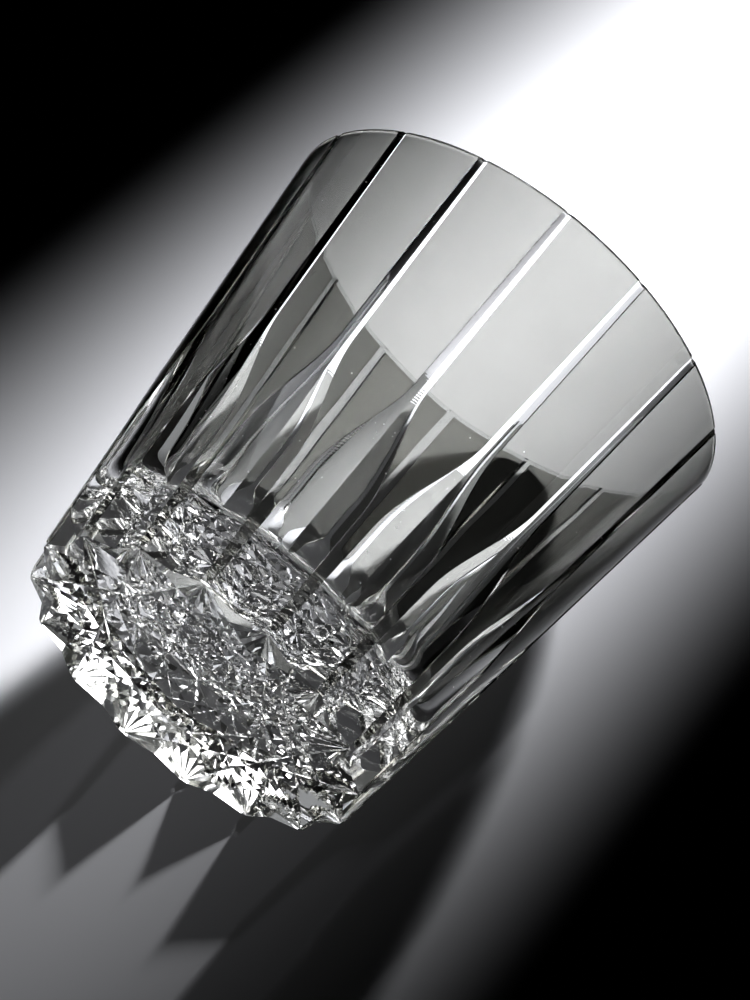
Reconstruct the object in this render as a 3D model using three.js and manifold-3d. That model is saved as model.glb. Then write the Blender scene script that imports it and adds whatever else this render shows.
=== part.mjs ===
// Cut-crystal whiskey tumbler in cased glass.
// A clear crystal body carries sixteen islands of smoke-grey casing, left between sixteen
// V cuts that flare into leaves above the foot. A sixteen-point star is cut under the base.
// Units are millimetres, +Z is up, and the glass stands on z = 0 with its axis on Z.

import * as THREE from 'three';
import { mergeVertices } from 'three/addons/utils/BufferGeometryUtils.js';
import Module from 'manifold-3d';

const wasm = await Module();
wasm.setup();

// Driving dimensions of the glass.
const height = 88.2;
const rimRadius = 43;
const footRadius = 33.2;
const casing = 0.3;
const lipRound = 0.7;

// The cup cavity.
const cupFloor = 9.6;
const cupFloorRadius = 29.8;
const cupMouthRadius = 41.0;
const cupCorner = 9;
const cupBowl = 80;

// The wall cuts: a narrow line above, a broad leaf below, and a smoke strip between leaves.
const cuts = 16;
const pitch = (2 * Math.PI) / cuts;
const lineHalfAtLip = 0.8;
const lineHalfAtFlare = 1.2;
const flareTop = 49;
const flareBottom = 25;
const stripAtFlare = 2.8;
const stripAtFoot = 1.75;
const lineSlope = THREE.MathUtils.degToRad(23);
const leafSlope = THREE.MathUtils.degToRad(14.5);

// Each smoke panel ends in a point just above the foot.
const panelTip = 0.65;
const panelShoulder = 1.8;
const panelSideLean = 0.08;
const panelColumns = 4;

// The base star: V cuts that join every foot point to the seven points facing it.
const starReach = [5, 6, 7, 8];
const starDepth = 1.05;
const starSlope = THREE.MathUtils.degToRad(27);
const starSegments = 2;

const coneRise = (rimRadius - footRadius) / height;
const lipStart = height - lipRound;

const outerRadius = (z) => footRadius + coneRise * z;
const crystalRadius = (z) => outerRadius(z) - casing;

// Half width of a wall cut, measured on the crystal at height z.
function cutHalfWidth(z) {
  const t = THREE.MathUtils.clamp((flareTop - z) / (flareTop - flareBottom), 0, 1);
  const flare = t * t * (3 - 2 * t);
  const up = THREE.MathUtils.clamp((z - flareTop) / (height - flareTop), 0, 1);
  const line = THREE.MathUtils.lerp(lineHalfAtFlare, lineHalfAtLip, up);
  const low = THREE.MathUtils.clamp(z / flareBottom, 0, 1);
  const strip = THREE.MathUtils.lerp(stripAtFoot, stripAtFlare, low);
  const leaf = (crystalRadius(z) * pitch - strip) / 2;
  return THREE.MathUtils.lerp(line, leaf, flare);
}

// Radial depth of the cut's V, below the round crystal surface.
function cutDepth(z) {
  const half = cutHalfWidth(z);
  const radius = crystalRadius(z);
  const widest = (crystalRadius(0) * pitch - stripAtFoot) / 2;
  const t = (half - lineHalfAtLip) / (widest - lineHalfAtLip);
  const slope = THREE.MathUtils.lerp(lineSlope, leafSlope, t);
  const sagitta = radius * (1 - Math.cos(half / radius));
  return sagitta + half * Math.tan(slope);
}

// Heights of the rows shared by the crystal wall and the panels on it.
function wallRows() {
  const rows = [];
  for (let z = 5; z < flareBottom; z += 10) rows.push(z);
  const flareSteps = 6;
  for (let i = 0; i <= flareSteps; i++) {
    rows.push(flareBottom + ((flareTop + 2 - flareBottom) * i) / flareSteps);
  }
  const lineSteps = 2;
  for (let i = 1; i <= lineSteps; i++) {
    rows.push(flareTop + 2 + ((lipStart - flareTop - 2) * i) / lineSteps);
  }
  return rows;
}

// Column c runs over a panel from one cut edge to the next; the sides lean in by `inset`.
function panelAngle(z, column, inset) {
  const edge = (cutHalfWidth(z) + inset) / crystalRadius(z);
  return THREE.MathUtils.lerp(edge, pitch - edge, column / panelColumns);
}

// The pointed lower end: high at the sides, low in the middle.
function panelEnd(column) {
  const side = Math.abs((2 * column) / panelColumns - 1);
  return THREE.MathUtils.lerp(panelTip, panelShoulder, side);
}

const onCircle = (radius, angle, z) => [radius * Math.cos(angle), radius * Math.sin(angle), z];

function meshGeometry(points, faces) {
  const geometry = new THREE.BufferGeometry();
  geometry.setAttribute('position', new THREE.Float32BufferAttribute(points.flat(), 3));
  geometry.setIndex(faces.flat());
  return geometry;
}

// Two triangles for each quad between neighbouring rows of a grid of point numbers.
function stitch(grid, closed) {
  const faces = [];
  for (let r = 0; r + 1 < grid.length; r++) {
    const count = grid[r].length;
    const last = closed ? count : count - 1;
    for (let c = 0; c < last; c++) {
      const n = (c + 1) % count;
      faces.push([grid[r][c], grid[r][n], grid[r + 1][n]]);
      faces.push([grid[r][c], grid[r + 1][n], grid[r + 1][c]]);
    }
  }
  return faces;
}

function solidFrom(geometry) {
  geometry.deleteAttribute('normal');
  geometry.deleteAttribute('uv');
  const merged = mergeVertices(geometry, 1e-5);
  return new wasm.Manifold(
    new wasm.Mesh({
      numProp: 3,
      vertProperties: new Float32Array(merged.attributes.position.array),
      triVerts: new Uint32Array(merged.index.array),
    }),
  );
}

function geometryFrom(solid) {
  const mesh = solid.getMesh();
  const geometry = new THREE.BufferGeometry();
  geometry.setAttribute('position', new THREE.BufferAttribute(mesh.vertProperties, 3));
  geometry.setIndex(new THREE.BufferAttribute(mesh.triVerts, 1));
  geometry.computeVertexNormals();
  return geometry;
}

// Crystal blank with the wall cuts already in it, still solid inside.
function wallBlank() {
  const points = [];
  const addRing = (pointAt) => {
    const ring = [];
    for (let s = 0; s < cuts; s++) {
      for (let c = -1; c <= panelColumns; c++) {
        ring.push(points.push(pointAt(s, c)) - 1);
      }
    }
    return ring;
  };
  // Column -1 is the bottom line of the V; the others lie on the round surface.
  const wallPoint = (zOf, inward) => (s, c) => {
    const z = zOf(c);
    const radius = crystalRadius(z) - inward;
    if (c < 0) return onCircle(radius - cutDepth(z), s * pitch, z);
    return onCircle(radius, s * pitch + panelAngle(z, c, 0), z);
  };
  const grid = [addRing(wallPoint(() => 0, 0))];
  grid.push(addRing(wallPoint((c) => (c < 0 ? panelShoulder : panelEnd(c)), 0)));
  for (const z of wallRows()) grid.push(addRing(wallPoint(() => z, 0)));
  for (const turn of [45, 90]) {
    const a = THREE.MathUtils.degToRad(turn);
    const inward = lipRound * (1 - Math.cos(a));
    grid.push(addRing(wallPoint(() => lipStart + lipRound * Math.sin(a), inward)));
  }
  const faces = stitch(grid, true);
  const foot = points.push([0, 0, 0]) - 1;
  const top = points.push([0, 0, height]) - 1;
  const first = grid[0];
  const last = grid[grid.length - 1];
  for (let i = 0; i < first.length; i++) {
    const n = (i + 1) % first.length;
    faces.push([foot, first[n], first[i]]);
    faces.push([top, last[i], last[n]]);
  }
  return meshGeometry(points, faces);
}

// Centre of the cup corner's arc, which touches the straight wall and the bowl of the floor.
function cornerCentre(wallTilt) {
  const wall = new THREE.Vector2(Math.sin(wallTilt), Math.cos(wallTilt));
  const inward = new THREE.Vector2(-Math.cos(wallTilt), Math.sin(wallTilt));
  const foot = new THREE.Vector2(cupFloorRadius, cupFloor).addScaledVector(inward, cupCorner);
  const offset = foot.clone().sub(new THREE.Vector2(0, cupFloor + cupBowl));
  const along = offset.dot(wall);
  const reach = (cupBowl - cupCorner) ** 2 - offset.lengthSq();
  return foot.addScaledVector(wall, -along - Math.sqrt(along ** 2 + reach));
}

// The cup: a conical hollow with a bowled floor, a rounded corner and an eased mouth.
function cupHollow() {
  const wallTilt = Math.atan2(cupMouthRadius - cupFloorRadius, lipStart - cupFloor);
  const centre = cornerCentre(wallTilt);
  const floorTilt = Math.atan2(centre.x, cupFloor + cupBowl - centre.y);
  const profile = [];
  const bowlSteps = 4;
  for (let i = 0; i < bowlSteps; i++) {
    const a = (floorTilt * i) / bowlSteps;
    const rise = cupBowl * (1 - Math.cos(a));
    profile.push(new THREE.Vector2(cupBowl * Math.sin(a), cupFloor + rise));
  }
  const cornerSteps = 5;
  for (let i = 0; i <= cornerSteps; i++) {
    const a = THREE.MathUtils.lerp(floorTilt, Math.PI / 2 - wallTilt, i / cornerSteps);
    const x = centre.x + cupCorner * Math.sin(a);
    profile.push(new THREE.Vector2(x, centre.y - cupCorner * Math.cos(a)));
  }
  const mouthSteps = 3;
  for (let i = 0; i <= mouthSteps; i++) {
    const a = ((Math.PI / 2) * i) / mouthSteps;
    const x = cupMouthRadius + lipRound * (1 - Math.cos(a));
    profile.push(new THREE.Vector2(x, lipStart + lipRound * Math.sin(a)));
  }
  profile.push(new THREE.Vector2(cupMouthRadius + lipRound, height + 2));
  profile.push(new THREE.Vector2(0, height + 2));
  const hollow = new THREE.LatheGeometry(profile, 48);
  hollow.rotateX(Math.PI / 2);
  return hollow;
}

// One star cut: a long roof-shaped tool whose ridge rises and falls between two foot points.
function starTool(from, to) {
  const start = new THREE.Vector2(Math.cos(from), Math.sin(from)).multiplyScalar(crystalRadius(0));
  const end = new THREE.Vector2(Math.cos(to), Math.sin(to)).multiplyScalar(crystalRadius(0));
  const along = end.clone().sub(start).normalize();
  const across = new THREE.Vector2(-along.y, along.x);
  const below = 1;
  const points = [];
  const grid = [];
  for (let i = 0; i <= starSegments; i++) {
    const t = i / starSegments;
    const ridge = starDepth * 4 * t * (1 - t);
    const half = (ridge + below) / Math.tan(starSlope);
    const middle = start.clone().lerp(end, t);
    const row = [
      [middle.x + across.x * half, middle.y + across.y * half, -below],
      [middle.x, middle.y, ridge],
      [middle.x - across.x * half, middle.y - across.y * half, -below],
    ];
    grid.push(row.map((point) => points.push(point) - 1));
  }
  const faces = stitch(grid, true);
  const last = grid[starSegments];
  faces.push([grid[0][2], grid[0][1], grid[0][0]]);
  faces.push([last[0], last[1], last[2]]);
  return meshGeometry(points, faces);
}

function crystalBody() {
  const hollow = solidFrom(cupHollow());
  const tools = [];
  for (let point = 0; point < cuts; point++) {
    for (const reach of starReach) {
      if (reach === cuts / 2 && point >= cuts / 2) continue;
      const from = (point + 0.5) * pitch;
      tools.push(solidFrom(starTool(from, from + reach * pitch)));
    }
  }
  const star = wasm.Manifold.union(tools);
  return geometryFrom(solidFrom(wallBlank()).subtract(hollow).subtract(star));
}

// One island of casing: its inner face lies on the crystal, its outer face is the glass skin.
function smokePanel(sector) {
  const points = [];
  const addSkin = (outward, inset) => {
    const grid = [];
    const rows = [panelEnd, ...wallRows().map((z) => () => z)];
    for (const zOf of rows) {
      const row = [];
      for (let c = 0; c <= panelColumns; c++) {
        const z = zOf(c);
        const angle = sector * pitch + panelAngle(z, c, inset);
        row.push(points.push(onCircle(crystalRadius(z) + outward, angle, z)) - 1);
      }
      grid.push(row);
    }
    return grid;
  };
  const inner = addSkin(0, 0);
  const outer = addSkin(casing, panelSideLean);
  const rim = (grid) => {
    const up = grid.map((row) => row[panelColumns]);
    const down = grid.map((row) => row[0]).reverse();
    const top = [...grid[grid.length - 1]].reverse();
    return [...grid[0], ...up.slice(1), ...top.slice(1), ...down.slice(1, -1)];
  };
  const faces = stitch(outer, false);
  for (const [a, b, c] of stitch(inner, false)) faces.push([c, b, a]);
  faces.push(...stitch([rim(inner), rim(outer)], true));
  const geometry = meshGeometry(points, faces);
  geometry.computeVertexNormals();
  return geometry;
}

const crystal = new THREE.MeshStandardMaterial({
  color: 0xdfe6e8,
  roughness: 0.04,
  metalness: 0,
  transparent: true,
  opacity: 0.35,
});
const smoke = new THREE.MeshStandardMaterial({
  color: 0x4b4e48,
  roughness: 0.05,
  metalness: 0,
});

const tumbler = new THREE.Group();
tumbler.name = 'whiskey_tumbler';

const body = new THREE.Mesh(crystalBody(), crystal);
body.name = 'crystal_body';
tumbler.add(body);

for (let sector = 0; sector < cuts; sector++) {
  const panel = new THREE.Mesh(smokePanel(sector), smoke);
  panel.name = `smoke_panel_${String(sector + 1).padStart(2, '0')}`;
  tumbler.add(panel);
}

export default tumbler;
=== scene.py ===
"""Cut-crystal whiskey tumbler: a clear body and sixteen fused panels of smoke-grey casing."""

from math import atan2, cos, pi, radians, sin, sqrt, tan

import bpy
from mathutils import Matrix, Vector


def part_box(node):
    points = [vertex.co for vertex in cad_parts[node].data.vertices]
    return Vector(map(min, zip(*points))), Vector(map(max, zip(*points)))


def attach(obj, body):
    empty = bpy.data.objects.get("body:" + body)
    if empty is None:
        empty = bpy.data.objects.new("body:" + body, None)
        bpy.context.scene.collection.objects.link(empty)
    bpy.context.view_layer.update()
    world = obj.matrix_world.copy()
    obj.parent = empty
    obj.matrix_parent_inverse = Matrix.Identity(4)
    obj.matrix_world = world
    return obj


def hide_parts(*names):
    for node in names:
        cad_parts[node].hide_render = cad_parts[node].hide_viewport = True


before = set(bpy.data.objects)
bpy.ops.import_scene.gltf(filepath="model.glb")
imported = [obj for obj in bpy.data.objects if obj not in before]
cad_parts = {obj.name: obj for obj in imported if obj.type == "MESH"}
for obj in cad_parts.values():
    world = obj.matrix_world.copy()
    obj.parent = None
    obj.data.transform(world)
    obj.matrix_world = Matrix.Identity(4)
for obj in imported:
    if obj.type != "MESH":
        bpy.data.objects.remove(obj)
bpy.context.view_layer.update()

MM = 0.001

# Driving sizes, in millimetres, as in the frame.
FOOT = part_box("crystal_body")
HEIGHT = (FOOT[1][2] - FOOT[0][2]) / MM
RIM_RADIUS = 43.0
FOOT_RADIUS = 33.2
CASING = 0.3
LIP_ROUND = 0.7

CUP_FLOOR = 9.6
CUP_FLOOR_RADIUS = 29.8
CUP_MOUTH_RADIUS = 41.0
CUP_CORNER = 9.0
CUP_BOWL = 80.0

CUTS = 16
PITCH = 2 * pi / CUTS
LINE_HALF_AT_LIP = 0.8
LINE_HALF_AT_FLARE = 1.2
FLARE_TOP = 49.0
FLARE_BOTTOM = 25.0
STRIP_AT_FLARE = 2.8
STRIP_AT_FOOT = 1.75
LINE_SLOPE = radians(23)
LEAF_SLOPE = radians(14.5)

PANEL_TIP = 0.65
PANEL_SHOULDER = 1.8
SIDE_LEAN = 0.08
COLUMNS = 10
FUSE_GAP = 0.02

STAR_REACH = (5, 6, 7, 8)
STAR_DEPTH = 1.05
STAR_SLOPE = radians(27)
STAR_SEGMENTS = 10
STAR_TOOL_BELOW = 1.0

LIP_START = HEIGHT - LIP_ROUND

# How finely the surfaces are divided. Gaps are in millimetres.
FIRST_ROW_GAP = 0.6
LEAF_ROW_GAP = 1.1
LEAF_ROWS = 20
FLARE_ROW_GAP = 0.8
FLARE_ROWS_PAST = 3
FLARE_ROWS = 44
LINE_ROWS = 14
LIP_STEPS = 10
CUP_WALL_STEPS = 24
CORNER_STEPS = 26
BOWL_STEPS = 6
SHARP_ANGLE = radians(6)


# ---------------------------------------------------------------- shape of the cuts

def mix(a, b, t):
    return a + (b - a) * t


def clamp01(t):
    return max(0.0, min(1.0, t))


def outer_radius(z):
    return mix(FOOT_RADIUS, RIM_RADIUS, z / HEIGHT)


def crystal_radius(z):
    return outer_radius(z) - CASING


def cut_half_width(z):
    t = clamp01((FLARE_TOP - z) / (FLARE_TOP - FLARE_BOTTOM))
    flare = t * t * (3 - 2 * t)
    above = clamp01((z - FLARE_TOP) / (HEIGHT - FLARE_TOP))
    line = mix(LINE_HALF_AT_FLARE, LINE_HALF_AT_LIP, above)
    strip = mix(STRIP_AT_FOOT, STRIP_AT_FLARE, clamp01(z / FLARE_BOTTOM))
    leaf = (crystal_radius(z) * PITCH - strip) / 2
    return mix(line, leaf, flare)


def cut_depth(z):
    half = cut_half_width(z)
    radius = crystal_radius(z)
    widest = (crystal_radius(0) * PITCH - STRIP_AT_FOOT) / 2
    t = (half - LINE_HALF_AT_LIP) / (widest - LINE_HALF_AT_LIP)
    slope = mix(LINE_SLOPE, LEAF_SLOPE, t)
    return radius * (1 - cos(half / radius)) + half * tan(slope)


def panel_angle(z, column, inset=0.0):
    edge = (cut_half_width(z) + inset) / crystal_radius(z)
    return mix(edge, PITCH - edge, column / COLUMNS)


def panel_end(column):
    return mix(PANEL_TIP, PANEL_SHOULDER, abs(2 * column / COLUMNS - 1))


def wall_rows():
    """Heights of the rows above the foot, close together where the cuts flare."""
    rows = [PANEL_SHOULDER + FIRST_ROW_GAP + i * LEAF_ROW_GAP for i in range(LEAF_ROWS)]
    low, high = rows[-1] + FLARE_ROW_GAP, FLARE_TOP + FLARE_ROWS_PAST
    rows += [mix(low, high, i / FLARE_ROWS) for i in range(FLARE_ROWS + 1)]
    rows += [mix(high, LIP_START, i / LINE_ROWS) for i in range(1, LINE_ROWS + 1)]
    return rows


ROWS = wall_rows()


def on_circle(radius, angle, z):
    return Vector((radius * cos(angle), radius * sin(angle), z)) * MM


# ---------------------------------------------------------------- mesh helpers

def mesh_object(name, points, faces, slots, materials):
    mesh = bpy.data.meshes.new(name)
    mesh.from_pydata(points, [], faces)
    for material in materials:
        mesh.materials.append(material)
    mesh.polygons.foreach_set("material_index", slots)
    mesh.validate()
    piece = bpy.data.objects.new(name, mesh)
    bpy.context.scene.collection.objects.link(piece)
    return piece


def shade_by_angle(piece):
    """Smooth shading that keeps the edges of the cuts crisp."""
    mesh = piece.data
    mesh.shade_smooth()
    mesh.set_sharp_from_angle(angle=SHARP_ANGLE)


# ---------------------------------------------------------------- materials

GLASS_IOR = 1.54
CRYSTAL_COLOUR = (0.985, 0.992, 0.99)
SMOKE_COLOUR = (0.38, 0.38, 0.358)
SMOKE_FUSED_COLOUR = (0.58, 0.58, 0.565)
SMOKE_DRIFT = 0.07
SMOKE_DRIFT_SIZE = 30 * MM
NOISE_LOW = 0.3
NOISE_HIGH = 0.7

# The wheel's marks on the leaves: ridges this far apart and this high, bowed across the leaf.
MARK_PITCH = 0.5 * MM
MARK_HEIGHT = 0.0006 * MM
MARK_BOW = 30 * MM
MARK_WANDER = 9.0
MARK_WANDER_SIZE = 6 * MM
MARK_FADE_SIZE = 9 * MM


def new_material(name):
    material = bpy.data.materials.new(name)
    material.use_nodes = True
    nodes = material.node_tree.nodes
    nodes.clear()
    output = nodes.new("ShaderNodeOutputMaterial")
    return material, nodes, material.node_tree.links, output


def mix_shaders(nodes, links, share, first, second, output):
    """Show the first shader where share is 0 and the second where it is 1."""
    pick = nodes.new("ShaderNodeMixShader")
    links.new(share, pick.inputs["Fac"])
    links.new(first, pick.inputs[1])
    links.new(second, pick.inputs[2])
    links.new(pick.outputs["Shader"], output.inputs["Surface"])


def let_lamps_through(nodes, links, glass, output, share):
    """Lamps shine through the glass and cast a shadow of its own tone; the view keeps the real glass."""
    path = nodes.new("ShaderNodeLightPath")
    clear = nodes.new("ShaderNodeBsdfTransparent")
    clear.inputs["Color"].default_value = (share, share, share, 1)
    mix_shaders(nodes, links, path.outputs["Is Shadow Ray"], glass, clear.outputs["BSDF"], output)


def calculate(nodes, links, operation, *values):
    """A Math node; each value is a number or another node's output."""
    node = nodes.new("ShaderNodeMath")
    node.operation = operation
    for value, socket in zip(values, node.inputs):
        if isinstance(value, (int, float)):
            socket.default_value = value
        else:
            links.new(value, socket)
    return node.outputs["Value"]


def noise(nodes, links, place, size, detail=2.0):
    """Cloudy noise around 0.5 with lumps about `size` metres wide."""
    node = nodes.new("ShaderNodeTexNoise")
    links.new(place, node.inputs["Vector"])
    node.inputs["Scale"].default_value = 1 / size
    node.inputs["Detail"].default_value = detail
    return node.outputs["Fac"]


def stretched_noise(nodes, links, place, size, top):
    """Noise whose usual range is stretched to cover 0 to top."""
    node = nodes.new("ShaderNodeMapRange")
    links.new(noise(nodes, links, place, size), node.inputs["Value"])
    node.inputs["From Min"].default_value = NOISE_LOW
    node.inputs["From Max"].default_value = NOISE_HIGH
    node.inputs["To Max"].default_value = top
    return node.outputs["Result"]


def specks(nodes, links, place, cell, size, share):
    """1 on tiny scattered dots and 0 elsewhere; `share` of the cells hold one."""
    node = nodes.new("ShaderNodeTexVoronoi")
    links.new(place, node.inputs["Vector"])
    node.inputs["Scale"].default_value = 1 / cell
    parts = nodes.new("ShaderNodeSeparateColor")
    links.new(node.outputs["Color"], parts.inputs["Color"])
    reach = calculate(nodes, links, "MULTIPLY", parts.outputs["Green"], size / cell)
    dot = calculate(nodes, links, "LESS_THAN", node.outputs["Distance"], reach)
    chosen = calculate(nodes, links, "LESS_THAN", parts.outputs["Red"], share)
    return calculate(nodes, links, "MULTIPLY", dot, chosen)


def bump(nodes, links, relief, height, under=None):
    """Surface relief `height` metres high, on top of another relief where one is given."""
    node = nodes.new("ShaderNodeBump")
    node.inputs["Strength"].default_value = 1.0
    node.inputs["Distance"].default_value = height
    links.new(relief, node.inputs["Height"])
    if under:
        links.new(under, node.inputs["Normal"])
    return node.outputs["Normal"]


def wheel_marks(nodes, links, place):
    """Fine arcs that the cutting wheel leaves across each leaf, all bowed towards the lip."""
    parts = nodes.new("ShaderNodeSeparateXYZ")
    links.new(place, parts.inputs["Vector"])
    angle = calculate(nodes, links, "ARCTAN2", parts.outputs["Y"], parts.outputs["X"])
    turn = calculate(nodes, links, "MULTIPLY_ADD", angle, 1 / PITCH, CUTS + 0.5)
    aside = calculate(nodes, links, "SUBTRACT", calculate(nodes, links, "FRACT", turn), 0.5)
    square = calculate(nodes, links, "MULTIPLY", aside, aside)
    bow = calculate(nodes, links, "MULTIPLY", square, MARK_BOW)
    level = calculate(nodes, links, "ADD", parts.outputs["Z"], bow)
    wander = noise(nodes, links, place, MARK_WANDER_SIZE)
    phase = calculate(nodes, links, "MULTIPLY", level, 2 * pi / MARK_PITCH)
    phase = calculate(nodes, links, "MULTIPLY_ADD", wander, MARK_WANDER, phase)
    wave = calculate(nodes, links, "SINE", phase)
    fade = stretched_noise(nodes, links, place, MARK_FADE_SIZE, 1.0)
    marks = calculate(nodes, links, "MULTIPLY", wave, fade)
    return bump(nodes, links, marks, MARK_HEIGHT)


def drifting_smoke(nodes, links, place):
    """The casing's colour, a little deeper in some places than in others."""
    drift = nodes.new("ShaderNodeMix")
    drift.data_type = "RGBA"
    amount = stretched_noise(nodes, links, place, SMOKE_DRIFT_SIZE, 1.0)
    links.new(amount, drift.inputs["Factor"])
    drift.inputs[6].default_value = (*[c * (1 - SMOKE_DRIFT) for c in SMOKE_COLOUR], 1)
    drift.inputs[7].default_value = (*[c * (1 + SMOKE_DRIFT) for c in SMOKE_COLOUR], 1)
    return drift.outputs[2]


def glass_material(name, haze_size, haze, speck_cell, speck_size, speck_share, speck_roughness,
                   ripple_size, ripple_height, shadow_share,
                   colour=CRYSTAL_COLOUR, colour_nodes=None, ridge_nodes=None):
    """Clear or tinted glass with patches of haze, tiny specks and a rippled surface."""
    material, nodes, links, output = new_material(name)
    shader = nodes.new("ShaderNodeBsdfPrincipled")
    shader.inputs["Base Color"].default_value = (*colour, 1)
    shader.inputs["Transmission Weight"].default_value = 1
    shader.inputs["IOR"].default_value = GLASS_IOR
    shader.inputs["Roughness"].default_value = 0
    place = nodes.new("ShaderNodeTexCoord").outputs["Object"]
    if colour_nodes:
        links.new(colour_nodes(nodes, links, place), shader.inputs["Base Color"])
    patches = stretched_noise(nodes, links, place, haze_size, haze)
    dots = specks(nodes, links, place, speck_cell, speck_size, speck_share)
    rough = calculate(nodes, links, "MULTIPLY_ADD", dots, speck_roughness, patches)
    links.new(rough, shader.inputs["Roughness"])
    ridges = ridge_nodes(nodes, links, place) if ridge_nodes else None
    ripple = noise(nodes, links, place, ripple_size, 1.0)
    relief = bump(nodes, links, ripple, ripple_height, ridges)
    links.new(relief, shader.inputs["Normal"])
    let_lamps_through(nodes, links, shader.outputs["BSDF"], output, shadow_share)
    return material


def fused_material(name, tint):
    """The boundary between casing and crystal: one glass, so light passes it unbent."""
    material, nodes, links, output = new_material(name)
    shader = nodes.new("ShaderNodeBsdfTransparent")
    shader.inputs["Color"].default_value = (*tint, 1)
    links.new(shader.outputs["BSDF"], output.inputs["Surface"])
    return material


BODY_MATERIALS = [
    glass_material(
        "crystal_polished", haze_size=12 * MM, haze=0.02,
        speck_cell=2.2 * MM, speck_size=0.16 * MM, speck_share=0.25, speck_roughness=0.5,
        ripple_size=14 * MM, ripple_height=0.035 * MM, shadow_share=0.45),
    glass_material(
        "crystal_wheel_cut", haze_size=4 * MM, haze=0.03,
        speck_cell=1.1 * MM, speck_size=0.16 * MM, speck_share=0.35, speck_roughness=0.55,
        ripple_size=5 * MM, ripple_height=0.006 * MM, shadow_share=0.1,
        ridge_nodes=wheel_marks),
    fused_material("crystal_under_casing", (1, 1, 1)),
    glass_material(
        "crystal_star_cut", haze_size=3 * MM, haze=0.008,
        speck_cell=1.4 * MM, speck_size=0.15 * MM, speck_share=0.12, speck_roughness=0.5,
        ripple_size=3 * MM, ripple_height=0.0015 * MM, shadow_share=0.5),
]
POLISHED, WHEEL_CUT, FUSED, STAR_CUT = range(len(BODY_MATERIALS))

PANEL_MATERIALS = [
    glass_material(
        "smoke_glass", haze_size=8 * MM, haze=0.015,
        speck_cell=2.6 * MM, speck_size=0.14 * MM, speck_share=0.3, speck_roughness=0.45,
        ripple_size=16 * MM, ripple_height=0.02 * MM, shadow_share=0.12,
        colour=SMOKE_COLOUR, colour_nodes=drifting_smoke),
    fused_material("smoke_on_crystal", SMOKE_FUSED_COLOUR),
]
SMOKE, SMOKE_FUSED = range(len(PANEL_MATERIALS))


# ---------------------------------------------------------------- crystal body

def corner_centre(tilt):
    """Centre of the rounded corner's arc, which touches the straight wall and the bowl of the floor."""
    wall = Vector((sin(tilt), cos(tilt)))
    inward = Vector((-cos(tilt), sin(tilt)))
    foot = Vector((CUP_FLOOR_RADIUS, CUP_FLOOR)) + inward * CUP_CORNER
    offset = foot - Vector((0, CUP_FLOOR + CUP_BOWL))
    along = offset.dot(wall)
    reach = (CUP_BOWL - CUP_CORNER) ** 2 - offset.length_squared
    return foot - wall * (along + sqrt(along ** 2 + reach))


def cup_profile():
    """Radius and height down the inside, from just inside the lip to the middle of the cup's floor."""
    tilt = atan2(CUP_MOUTH_RADIUS - CUP_FLOOR_RADIUS, LIP_START - CUP_FLOOR)
    centre = corner_centre(tilt)
    floor_tilt = atan2(centre.x, CUP_FLOOR + CUP_BOWL - centre.y)
    profile = []
    for i in range(LIP_STEPS, 0, -1):
        a = pi / 2 * i / LIP_STEPS
        radius = CUP_MOUTH_RADIUS + LIP_ROUND * (1 - cos(a))
        profile.append((radius, LIP_START + LIP_ROUND * sin(a)))
    corner = []
    for i in range(CORNER_STEPS, -1, -1):
        a = mix(floor_tilt, pi / 2 - tilt, i / CORNER_STEPS)
        corner.append((centre.x + CUP_CORNER * sin(a), centre.y - CUP_CORNER * cos(a)))
    for i in range(CUP_WALL_STEPS):
        t = i / CUP_WALL_STEPS
        profile.append((mix(CUP_MOUTH_RADIUS, corner[0][0], t), mix(LIP_START, corner[0][1], t)))
    bowl = []
    for i in range(BOWL_STEPS - 1, 0, -1):
        a = floor_tilt * i / BOWL_STEPS
        bowl.append((CUP_BOWL * sin(a), CUP_FLOOR + CUP_BOWL * (1 - cos(a))))
    return profile + corner + bowl


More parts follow.
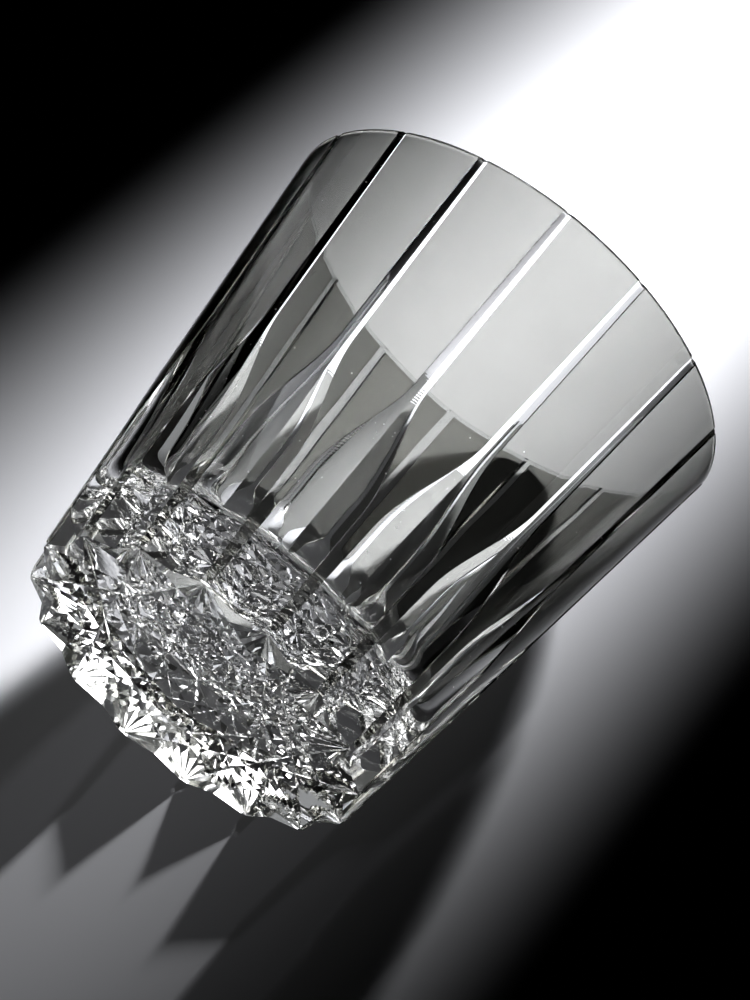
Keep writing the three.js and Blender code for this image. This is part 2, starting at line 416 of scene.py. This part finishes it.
def crystal_blank():
    """The body with its wall cuts and cup, before the star is cut."""
    points, rings = [], []

    def add_ring(point_at):
        ring = []
        for s in range(CUTS):
            for c in range(-1, COLUMNS + 1):
                ring.append(len(points))
                points.append(point_at(s, c))
        rings.append(ring)

    def wall_ring(z_of, inward):
        def point_at(s, c):
            z = z_of(c)
            radius = crystal_radius(z) - inward
            if c < 0:
                return on_circle(radius - cut_depth(z), s * PITCH, z)
            return on_circle(radius, s * PITCH + panel_angle(z, c), z)
        add_ring(point_at)

    wall_ring(lambda c: 0.0, 0.0)
    wall_ring(lambda c: PANEL_SHOULDER if c < 0 else panel_end(c), 0.0)
    first_wall = len(rings)
    for z in ROWS:
        wall_ring(lambda c, z=z: z, 0.0)
    last_wall = len(rings)
    for i in range(1, LIP_STEPS + 1):
        a = pi / 2 * i / LIP_STEPS
        z = LIP_START + LIP_ROUND * sin(a)
        wall_ring(lambda c, z=z: z, LIP_ROUND * (1 - cos(a)))
    lip_angles = [0.0] + [panel_angle(LIP_START, c) for c in range(COLUMNS + 1)]
    for radius, z in cup_profile():
        add_ring(lambda s, c: on_circle(radius, s * PITCH + lip_angles[c + 1], z))

    faces, slots = [], []
    width = COLUMNS + 2
    for r in range(len(rings) - 1):
        low, high = rings[r], rings[r + 1]
        count = len(low)
        for i in range(count):
            n = (i + 1) % count
            faces.append((low[i], low[n], high[n], high[i]))
            column = i % width
            on_land = 1 <= column <= COLUMNS
            if first_wall - 1 <= r < last_wall - 1:
                slots.append(FUSED if on_land else WHEEL_CUT)
            elif r < first_wall - 1:
                slots.append(WHEEL_CUT)
            else:
                slots.append(POLISHED)
    floor = len(points)
    points.append(on_circle(0, 0, CUP_FLOOR))
    last = rings[-1]
    for i in range(len(last)):
        faces.append((last[i], last[(i + 1) % len(last)], floor))
        slots.append(POLISHED)
    faces.append(tuple(reversed(rings[0])))
    slots.append(WHEEL_CUT)
    return mesh_object("cut_crystal", points, faces, slots, BODY_MATERIALS)


def star_tool(start_angle, end_angle):
    """One long roof whose ridge rises and falls on its way between two points of the foot."""
    radius = crystal_radius(0)
    start = Vector((cos(start_angle), sin(start_angle))) * radius
    end = Vector((cos(end_angle), sin(end_angle))) * radius
    along = (end - start).normalized()
    across = Vector((-along.y, along.x))
    points, faces = [], []
    for i in range(STAR_SEGMENTS + 1):
        t = i / STAR_SEGMENTS
        ridge = STAR_DEPTH * 4 * t * (1 - t)
        half = (ridge + STAR_TOOL_BELOW) / tan(STAR_SLOPE)
        middle = start.lerp(end, t)
        left, right = middle + across * half, middle - across * half
        points.append((left.x, left.y, -STAR_TOOL_BELOW))
        points.append((middle.x, middle.y, ridge))
        points.append((right.x, right.y, -STAR_TOOL_BELOW))
    for i in range(STAR_SEGMENTS):
        a, b = 3 * i, 3 * i + 3
        for c in range(3):
            n = (c + 1) % 3
            faces.append((a + c, a + n, b + n, b + c))
    last = 3 * STAR_SEGMENTS
    faces += [(2, 1, 0), (last, last + 1, last + 2)]
    points = [Vector(p) * MM for p in points]
    return mesh_object("star_tool", points, faces, [STAR_CUT] * len(faces), BODY_MATERIALS)


def cut_star(body):
    tools = []
    for point in range(CUTS):
        for reach in STAR_REACH:
            if reach == CUTS // 2 and point >= CUTS // 2:
                continue
            start = (point + 0.5) * PITCH
            tools.append(star_tool(start, start + reach * PITCH))
    for tool in tools:
        boolean = body.modifiers.new("star_cut", "BOOLEAN")
        boolean.operation = "DIFFERENCE"
        boolean.solver = "MANIFOLD"
        boolean.object = tool
    depsgraph = bpy.context.evaluated_depsgraph_get()
    cut = bpy.data.meshes.new_from_object(body.evaluated_get(depsgraph))
    body.modifiers.clear()
    body.data = cut
    for tool in tools:
        mesh = tool.data
        bpy.data.objects.remove(tool)
        bpy.data.meshes.remove(mesh)


def crystal_body():
    body = crystal_blank()
    cut_star(body)
    shade_by_angle(body)
    return body


# ---------------------------------------------------------------- casing panels

def smoke_panel(sector):
    """One island of casing; its inner face lies just off the crystal."""
    points, faces, slots = [], [], []
    rows = [panel_end] + [lambda c, z=z: z for z in ROWS]

    def add_skin(outward, inset):
        grid = []
        for z_of in rows:
            row = []
            for c in range(COLUMNS + 1):
                z = z_of(c)
                row.append(len(points))
                angle = sector * PITCH + panel_angle(z, c, inset)
                points.append(on_circle(crystal_radius(z) + outward, angle, z))
            grid.append(row)
        return grid

    def add_faces(grid, slot, flip=False):
        for r in range(len(grid) - 1):
            for c in range(len(grid[r]) - 1):
                face = (grid[r][c], grid[r][c + 1], grid[r + 1][c + 1], grid[r + 1][c])
                faces.append(face[::-1] if flip else face)
                slots.append(slot)

    def rim(grid):
        up = [row[-1] for row in grid]
        down = [row[0] for row in reversed(grid)]
        return grid[0] + up[1:] + grid[-1][-2::-1] + down[1:]

    inner = add_skin(FUSE_GAP, 0.0)
    outer = add_skin(CASING, SIDE_LEAN)
    add_faces(outer, SMOKE)
    add_faces(inner, SMOKE_FUSED, flip=True)
    add_faces([rim(inner), rim(outer)], SMOKE)
    panel = mesh_object(f"smoke_casing_{sector + 1:02d}", points, faces, slots, PANEL_MATERIALS)
    shade_by_angle(panel)
    return panel


body = crystal_body()
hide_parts("crystal_body")
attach(body, "root")
for sector in range(CUTS):
    panel = smoke_panel(sector)
    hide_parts(f"smoke_panel_{sector + 1:02d}")
    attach(panel, "root")


# ---------------------------------------------------------------- camera

CENTRE = Vector((0, 0, HEIGHT / 2)) * MM
VIEW_AZIMUTH = radians(4.5)
VIEW_BELOW = radians(26.7)
VIEW_ROLL = radians(40.45)
DISTANCE = 1.161
LENS = 254.0
SENSOR = 36
FRAMING = Vector((3.83, -0.07)) * MM


def view_axes():
    """Right, up and forward of the main view, which looks at the wall and the underside."""
    turn = Matrix.Rotation(VIEW_AZIMUTH, 3, "Z")
    forward = turn @ Vector((0, cos(VIEW_BELOW), sin(VIEW_BELOW)))
    right = turn @ Vector((1, 0, 0))
    up = right.cross(forward)
    c, s = cos(VIEW_ROLL), sin(VIEW_ROLL)
    return c * right + s * up, c * up - s * right, forward


def add_camera():
    right, up, forward = view_axes()
    data = bpy.data.cameras.new("camera")
    data.lens = LENS
    data.sensor_width = SENSOR
    camera = bpy.data.objects.new("camera", data)
    bpy.context.scene.collection.objects.link(camera)
    camera.matrix_world = Matrix((right, up, -forward)).transposed().to_4x4()
    camera.location = CENTRE - forward * DISTANCE + right * FRAMING.x + up * FRAMING.y
    bpy.context.scene.camera = camera


add_camera()

# ---------------------------------------------------------------- stage and light

# In the main view the glass lies on its side: its wall rests on a floor that is level there.
TABLE_NORMAL = Vector((-0.427, -0.897, 0.1115)).normalized()
TABLE_UP = Matrix.Rotation(VIEW_AZIMUTH, 3, "Z") @ TABLE_NORMAL
TABLE_RIGHT = view_axes()[0]
TABLE_AWAY = TABLE_UP.cross(TABLE_RIGHT).normalized()
FLOOR_SIZE = 3.0
FLOOR_GAP = 0.2 * MM
FLOOR_COLOUR = (0.8, 0.8, 0.8)

BEAM_BEARING = radians(37)
BEAM_HEIGHT = radians(17)
BEAM_DISTANCE = 0.58
BEAM_WIDTH = 0.04
BEAM_LENGTH = 0.08
BEAM_POWER = 0.18
BEAM_SPREAD = radians(11.5)
BEAM_COLOUR = (0.94, 0.95, 1.0)
# The beam points at a spot this far from the middle of the glass: down, away, to the lamp, left.
BEAM_AIM_DOWN = 0.038
BEAM_AIM_AWAY = 0.033
BEAM_AIM_TO_LAMP = 0.04
BEAM_AIM_LEFT = 0.003

SOFTBOX_DISTANCE = 0.5

STUDIO_COLOUR = (0.96, 0.98, 1.0)
STUDIO_LOW = -0.5
STUDIO_HIGH = 0.6
STUDIO_BELOW = 0.1
STUDIO_ABOVE = 0.3


def table_direction(bearing, height):
    """Unit vector to a compass bearing on the floor (0 is away, 90 is right) at a height angle."""
    level = TABLE_AWAY * cos(bearing) + TABLE_RIGHT * sin(bearing)
    return level * cos(height) + TABLE_UP * sin(height)


def one_sided_material(name, kind, colour, strength=None):
    """A face of the given shader kind in front, with nothing to see from behind."""
    material, nodes, links, output = new_material(name)
    face = nodes.new(kind)
    face.inputs["Color"].default_value = (*colour, 1)
    if strength:
        face.inputs["Strength"].default_value = strength
    clear = nodes.new("ShaderNodeBsdfTransparent")
    side = nodes.new("ShaderNodeNewGeometry").outputs["Backfacing"]
    mix_shaders(nodes, links, side, face.outputs[0], clear.outputs["BSDF"], output)
    return material


def add_plane(name, centre, normal, size, material):
    turn = normal.to_track_quat("Z", "Y").to_matrix() * (size / 2)
    corners = ((-1, -1), (1, -1), (1, 1), (-1, 1))
    points = [centre + turn @ Vector((x, y, 0)) for x, y in corners]
    plane = mesh_object(name, points, [(0, 1, 2, 3)], [0], [material])
    return plane


def add_floor():
    """The floor lies along the wall, just below the rim's lowest point."""
    lean = Vector((TABLE_UP.x, TABLE_UP.y, 0)).normalized()
    rim = Vector((0, 0, HEIGHT)) * MM - lean * RIM_RADIUS * MM
    pale = one_sided_material("pale_floor", "ShaderNodeBsdfDiffuse", FLOOR_COLOUR)
    add_plane("lying_floor", rim - TABLE_UP * FLOOR_GAP, TABLE_UP, FLOOR_SIZE, pale)


def add_beam():
    """A gridded strip light whose long side stands in the plane of its own beam."""
    source = table_direction(BEAM_BEARING, BEAM_HEIGHT)
    across = TABLE_UP.cross(source).normalized()
    aim = CENTRE - TABLE_UP * BEAM_AIM_DOWN + TABLE_AWAY * BEAM_AIM_AWAY
    aim += table_direction(BEAM_BEARING, 0) * BEAM_AIM_TO_LAMP - TABLE_RIGHT * BEAM_AIM_LEFT
    data = bpy.data.lights.new("beam", "AREA")
    data.shape = "RECTANGLE"
    data.size = BEAM_WIDTH
    data.size_y = BEAM_LENGTH
    data.energy = BEAM_POWER
    data.color = BEAM_COLOUR
    data.spread = BEAM_SPREAD
    lamp = bpy.data.objects.new("beam", data)
    bpy.context.scene.collection.objects.link(lamp)
    lamp.visible_camera = False
    turn = Matrix((across, source.cross(across), source)).transposed()
    lamp.matrix_world = Matrix.Translation(aim + source * BEAM_DISTANCE) @ turn.to_4x4()


def add_softbox(name, bearing, height, size, strength):
    """A glowing card that shows inside the glass and adds nothing to the floor or to outer gloss."""
    glow = one_sided_material(name, "ShaderNodeEmission", (1, 1, 1), strength)
    glow.cycles.emission_sampling = "NONE"
    source = table_direction(bearing, height)
    card = add_plane(name, CENTRE + source * SOFTBOX_DISTANCE, -source, size, glow)
    card.visible_camera = False
    card.visible_diffuse = False
    card.visible_glossy = False
    card.visible_shadow = False


def add_world():
    """A pale studio round the glass, darker below. The floor and the outer gloss don't see it."""
    world = bpy.data.worlds.new("studio")
    bpy.context.scene.world = world
    world.use_nodes = True
    nodes, links = world.node_tree.nodes, world.node_tree.links
    parts = nodes.new("ShaderNodeSeparateXYZ")
    links.new(nodes.new("ShaderNodeTexCoord").outputs["Generated"], parts.inputs["Vector"])
    ramp = nodes.new("ShaderNodeMapRange")
    links.new(parts.outputs["Z"], ramp.inputs["Value"])
    ramp.interpolation_type = "SMOOTHSTEP"
    ramp.inputs["From Min"].default_value = STUDIO_LOW
    ramp.inputs["From Max"].default_value = STUDIO_HIGH
    ramp.inputs["To Min"].default_value = STUDIO_BELOW
    ramp.inputs["To Max"].default_value = STUDIO_ABOVE
    background = nodes["Background"]
    background.inputs["Color"].default_value = (*STUDIO_COLOUR, 1)
    links.new(ramp.outputs["Result"], background.inputs["Strength"])
    world.cycles_visibility.diffuse = False
    world.cycles_visibility.glossy = False


def set_light_paths():
    """Enough bounces for light to cross every wall, with caustics off."""
    cycles = bpy.context.scene.cycles
    cycles.max_bounces = 40
    cycles.transmission_bounces = 40
    cycles.glossy_bounces = 16
    cycles.diffuse_bounces = 4
    cycles.transparent_max_bounces = 64
    cycles.caustics_refractive = False
    cycles.caustics_reflective = False


add_floor()
add_world()
add_beam()
add_softbox("far_softbox", radians(46), radians(27), 0.6, 7.0)
add_softbox("left_softbox", radians(-75), radians(40), 0.3, 2.0)
set_light_paths()
bpy.context.scene.view_settings.view_transform = "Standard"
